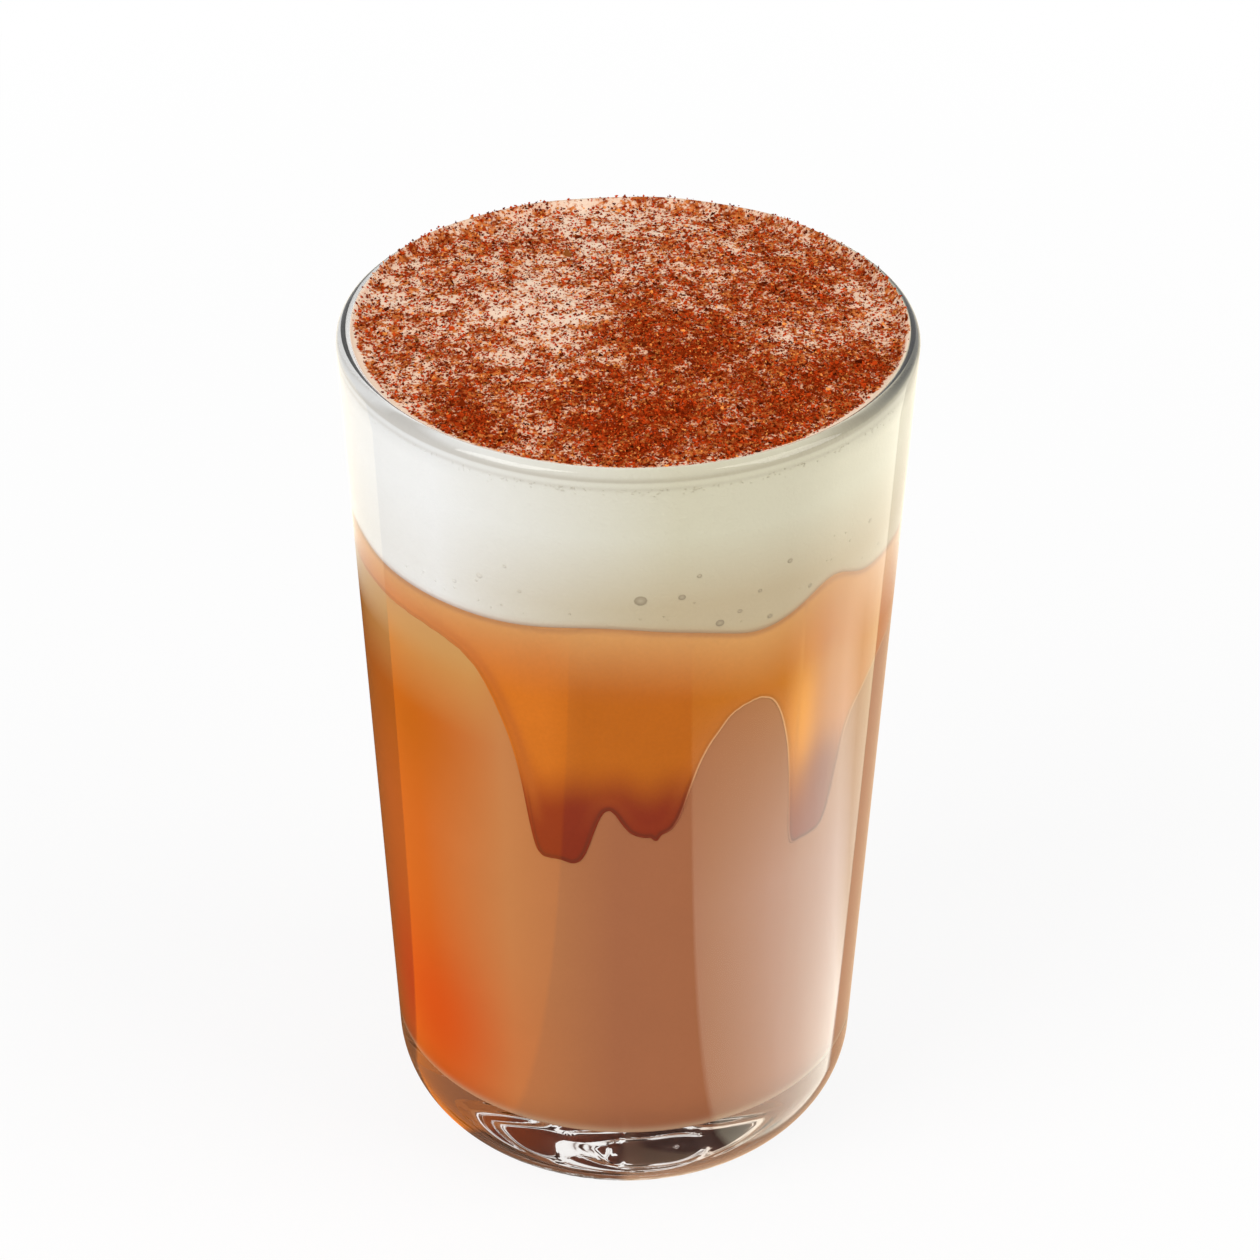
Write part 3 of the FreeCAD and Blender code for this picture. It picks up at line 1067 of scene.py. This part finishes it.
class LATTE_OT_spice(bpy.types.Operator):
    """Dust the foam with ground cinnamon, clove and nutmeg"""

    bl_idname = "latte.spice"
    bl_label = "Spice"

    def execute(self, context):
        shades, grains = colours(), amounts()
        self.scatter("spice_cinnamon", grains.cinnamon, shades.spice_red, 0.165, 0.9, seed=1)
        self.scatter("spice_clove", grains.clove, shades.spice_dark, 0.16, 0.4, seed=2)
        self.scatter("spice_nutmeg", grains.nutmeg, shades.spice_gold, 0.16, 0.5, seed=3)
        return {"FINISHED"}

    def scatter(self, name, number, shade, size, pickiness, seed):
        """Small uneven double pyramids, laid where the spice lies thick."""
        draw = np.random.default_rng(amounts().seed * 10 + seed)
        wall = inner_radius(HEIGHT - shape().foam_edge)
        tries = number * 4
        reach = (wall + SPICE_PAST_WALL) * np.sqrt(draw.random(tries))
        turn = draw.random(tries) * 2 * math.pi
        x, y = reach * np.cos(turn), reach * np.sin(turn)
        chance = spice_cover(x, y) ** (1 + pickiness)
        kept = np.flatnonzero(draw.random(tries) < chance)[:number]
        x, y = x[kept], y[kept]
        points = np.stack([x, y, foam_top(x, y)], axis=1)
        points = points[radius_of(points) < wall - 0.12 + foam_reach(angle_of(points))]
        points[:, 2] += foam_grain(points, wall) + 0.02
        total = len(points)
        sizes = size * np.exp(draw.normal(0, 0.35, total))
        stretch = np.exp(draw.normal(0, 0.3, (total, 1, 3)))
        spin = random_turns(draw, total)
        grains = GRAIN_CORNERS * stretch * sizes[:, None, None]
        grains = np.einsum("nij,nkj->nki", spin, grains) + points[:, None]
        faces = (GRAIN_FACES + 5 * np.arange(total)[:, None, None]).reshape(-1, 3).tolist()
        skin = ground_spice(name, shade)
        piece = new_piece(name, grains.reshape(-1, 3), faces, skin, smooth=False)
        store(piece, "shade", np.repeat(draw.random(total), 5))


def random_turns(draw, number):
    """Random rotation matrices from random quaternions."""
    q = draw.normal(size=(number, 4))
    w, x, y, z = (q / np.linalg.norm(q, axis=1)[:, None]).T
    rows = [
        [1 - 2 * (y * y + z * z), 2 * (x * y - z * w), 2 * (x * z + y * w)],
        [2 * (x * y + z * w), 1 - 2 * (x * x + z * z), 2 * (y * z - x * w)],
        [2 * (x * z - y * w), 2 * (y * z + x * w), 1 - 2 * (x * x + y * y)],
    ]
    return np.array(rows).transpose(2, 0, 1)


class LATTE_OT_stage(bpy.types.Operator):
    """Set the table, the soft lights and the camera"""

    bl_idname = "latte.stage"
    bl_label = "Stage"

    def execute(self, context):
        self.table()
        for name, place, power in SOFT_BOXES:
            light = bpy.data.lights.new(name, "AREA")
            light.shape = "RECTANGLE"
            light.size, light.size_y = SOFT_BOX_SIZE
            light.energy = power
            self.aimed(light, place, SOFT_BOX_AIM)
        self.world()
        lens = bpy.data.cameras.new("camera")
        lens.sensor_width = 36.0
        lens.lens = CAMERA_LENS
        context.scene.camera = self.aimed(lens, CAMERA_PLACE, CAMERA_AIM, CAMERA_ROLL)
        context.scene.view_settings.view_transform = "Standard"
        return {"FINISHED"}

    def aimed(self, data, place, target, roll=0.0):
        """Adds a lamp or camera that looks from a place to a target."""
        thing = new_object(data)
        thing.location = place
        turn = (Vector(target) - Vector(place)).to_track_quat("-Z", "Y").to_matrix()
        thing.rotation_euler = (turn @ Matrix.Rotation(math.radians(roll), 3, "Z")).to_euler()
        return thing

    def table(self):
        mesh = bpy.data.meshes.new("table")
        corners = [(x * TABLE_REACH, y * TABLE_REACH, 0) for x, y in ((-1, -1), (1, -1), (1, 1), (-1, 1))]
        mesh.from_pydata(corners, [], [(0, 1, 2, 3)])
        mesh.materials.append(self.table_top())
        new_object(mesh)

    def table_top(self):
        """White to the camera, matt to the lamps, and with cards that only the glass mirrors."""
        shader = Shader("white table")
        surface = shader.add("BsdfDiffuse", Color=(0.9, 0.9, 0.9))
        shadow = self.distance(shader, *SHADOW_FADE, SHADOW_WHITE)
        return shader.finish(shader.by_ray(surface, "Emission", (
            ("Is Camera Ray", (1, 1, 1), 1.0, shadow),
            ("Is Glossy Ray", self.cards(shader), CARD_GLOW, 1.0),
            ("Is Transmission Ray", self.under_glass(shader), 1.0, 1.0),
        )))

    def under_glass(self, shader):
        """The table as the clear base shows it: a painted shadow under the glass, painted amber light on
        its left and painted shade on its right.
        """
        tone = shader.tones(self.distance(shader, 0.0, TABLE_SEEN), UNDER_GLASS)
        side = shader.stretch(shader.axis("X", shader.place()), -TABLE_SIDE * MM, TABLE_SIDE * MM)
        return shader.tinted(tone, shader.tones(side, TABLE_SIDES))

    def distance(self, shader, near, far, start=0.0):
        """From start to 1 between two distances from the axis of the glass."""
        away = shader.vector("LENGTH", shader.place())
        return shader.stretch(away.outputs["Value"], near * MM, far * MM, start)

    def beside(self, shader, start, end):
        """Share of 1 on the left-hand side of the line from start to end."""
        along = Vector(end) - Vector(start)
        across = Vector((-along.y, along.x, 0.0)).normalized()
        offset = Vector((*start, 0.0)).dot(across)
        away = shader.vector("DOT_PRODUCT", shader.place(), across).outputs["Value"]
        return shader.stretch(away, (offset - CARD_BLUR) * MM, (offset + CARD_BLUR) * MM)

    def cards(self, shader):
        """Light of the two cards and of what lies between, behind and beyond them."""
        def dimmed(light):
            return tuple(channel / CARD_GLOW for channel in light)

        x = shader.axis("X", shader.place())
        back = shader.times(shader.axis("Y", shader.place()), -1.0)
        turn = shader.reckon(x, back, "ARCTAN2")
        stops = [(degrees / 180, dimmed(light)) for degrees, light in RIGHT_LIGHT]
        right_light = shader.tones(shader.stretch(turn, 0.0, math.pi), stops)
        fades = [shader.blend(self.distance(shader, *reach), *tones) for reach, *tones in CARD_FADES]
        at_side = shader.stretch(turn, *(math.radians(degrees) for degrees in SIDE_FROM))
        right_light = shader.tinted(right_light, shader.blend(at_side, *fades))
        far_light = shader.blend(at_side, dimmed(FAR_LIGHT), dimmed(FAR_SIDE_LIGHT))
        far = self.distance(shader, *CARD_REACH)
        light = shader.blend(far, dimmed(GAP_LIGHT), far_light)
        for card, colour_of, behind_it, side in (
            (LEFT_CARD, dimmed(LEFT_LIGHT), dimmed(LEFT_BACK_LIGHT), -1.0),
            (RIGHT_CARD, right_light, dimmed(RIGHT_BACK_LIGHT), 1.0),
        ):
            on_card = shader.times(*(self.beside(shader, *line) for line in card))
            light = shader.blend(on_card, light, shader.blend(far, colour_of, far_light))
            this_side = shader.stretch(shader.times(x, side), -MM, MM)
            past = shader.times(this_side, self.beside(shader, *reversed(card[1])))
            light = shader.blend(past, light, shader.blend(far, behind_it, dimmed(FAR_OUTER_LIGHT)))
        return light

    def world(self):
        """Soft white light; clear glass shows the dark and bright things of a room in its base."""
        room = Shader("studio", "worlds")
        bpy.context.scene.world = room.owner
        surface = room.add("Background", Color=(1, 1, 1), Strength=WORLD_LIGHT)
        room.finish(room.by_ray(surface, "Background", (
            ("Is Camera Ray", (1, 1, 1), 1.0, 1.0),
            ("Is Glossy Ray", (1, 1, 1), 1.0, 1.0),
            ("Is Transmission Ray", self.room_in_the_base(room), 1.0, 1.0),
        )), "OutputWorld")

    def room_in_the_base(self, room):
        way = room.add("TexCoord").outputs["Generated"]
        streaks = room.vector("MULTIPLY", way, ROOM_STRETCH)
        streaks = room.add("TexNoise", Vector=streaks, Scale=ROOM_SCALE, Detail=2.0)
        side = room.stretch(room.axis("X", way), -1.0, 1.0)
        return room.tinted(room.tones(streaks.outputs["Fac"], ROOM_TONES), room.tones(side, ROOM_SIDES))


STEPS = (
    LATTE_OT_tumbler,
    LATTE_OT_coffee,
    LATTE_OT_caramel,
    LATTE_OT_foam,
    LATTE_OT_bubbles,
    LATTE_OT_spice,
    LATTE_OT_stage,
)


class LATTE_PT_panel(bpy.types.Panel):
    """Lists the drink's settings and steps in the sidebar"""

    bl_idname = "LATTE_PT_panel"
    bl_label = "Pumpkin Spice Latte"
    bl_space_type = "VIEW_3D"
    bl_region_type = "UI"
    bl_category = "Latte"

    def draw(self, context):
        for group in (shape(), colours(), amounts()):
            box = self.layout.box()
            for name in group.bl_rna.properties.keys():
                if name not in ("rna_type", "name"):
                    box.prop(group, name)
        for step in STEPS:
            self.layout.operator(step.bl_idname)


GROUPS = {"latte_shape": LatteShape, "latte_colours": LatteColours, "latte_amounts": LatteAmounts}
CLASSES = (*GROUPS.values(), *STEPS, LATTE_PT_panel)


def register():
    for made in CLASSES:
        bpy.utils.register_class(made)
    for name, group in GROUPS.items():
        setattr(bpy.types.Scene, name, bpy.props.PointerProperty(type=group))


def unregister():
    for name in GROUPS:
        delattr(bpy.types.Scene, name)
    for made in reversed(CLASSES):
        bpy.utils.unregister_class(made)


def main():
    register()
    bpy.ops.latte.tumbler()
    bpy.ops.latte.coffee()
    bpy.ops.latte.caramel()
    bpy.ops.latte.foam()
    bpy.ops.latte.bubbles()
    bpy.ops.latte.spice()
    bpy.ops.latte.stage()


if __name__ == "__main__":
    main()
